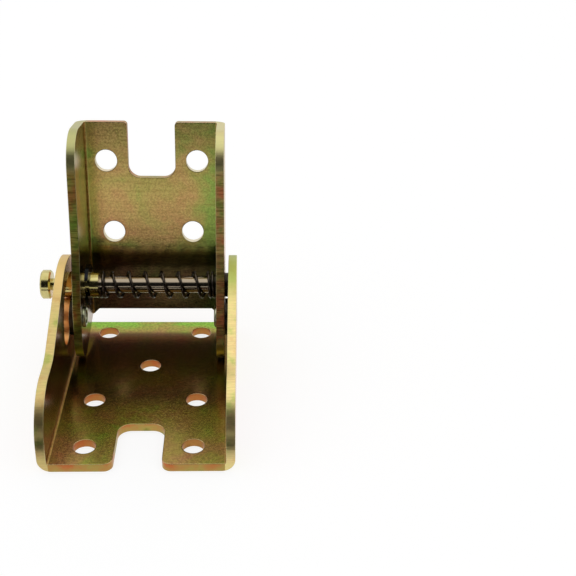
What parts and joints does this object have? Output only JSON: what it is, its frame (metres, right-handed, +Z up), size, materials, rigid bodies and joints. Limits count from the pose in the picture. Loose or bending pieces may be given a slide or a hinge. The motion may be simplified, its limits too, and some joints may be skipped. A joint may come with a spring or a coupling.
{
  "type": "folding hinge",
  "caption": "Self-locking folding hinge for a table leg: two pressed channels on hollow rivets, with a sprung push-button lock pin.",
  "frame": {"origin": "on the base bracket's underside, midway between its ears and straight below the fold axis", "axes": "+Z up from the table face through the open leg, -Y towards the notched front edge, +X along the fold axis away from the button"},
  "size_m": [0.0481, 0.0682, 0.057],
  "materials": {
    "bracket_zinc": "yellow chromated zinc plate, iridescent, satin",
    "leg_zinc": "yellow chromated zinc plate, iridescent, satin",
    "rivet_zinc": "pale zinc plate, satin",
    "pin_zinc": "turned steel with pale yellow zinc plate, bright",
    "black_steel": "black oxide, semi-gloss",
    "spring_steel": "dark oiled spring wire, semi-gloss",
    "dark_steel": "dark oiled steel, satin"
  },
  "bodies": {
    "base": {"base_bracket": "bracket_zinc", "pivot_rivet_left": "rivet_zinc", "pivot_rivet_right": "rivet_zinc", "pivot_washer_left": "dark_steel", "pivot_washer_right": "dark_steel"},
    "leg": {"leg_bracket": "leg_zinc", "guide_bush": "dark_steel", "lock_spring": "spring_steel"},
    "pin": {"lock_pin": "pin_zinc", "retaining_clip": "black_steel"}
  },
  "joints": [
    {"name": "fold", "type": "hinge", "parent": "base", "child": "leg", "pos_m": [0, 0, 0.013], "axis": [1, 0, 0], "range_deg": [0, 113]},
    {"name": "press", "type": "slide", "parent": "leg", "child": "pin", "axis": [1, 0, 0], "range_m": [0, 0.0025], "stiffness_N_per_m": 2300, "springref_m": -0.003, "deforming": ["lock_spring"]}
  ]
}
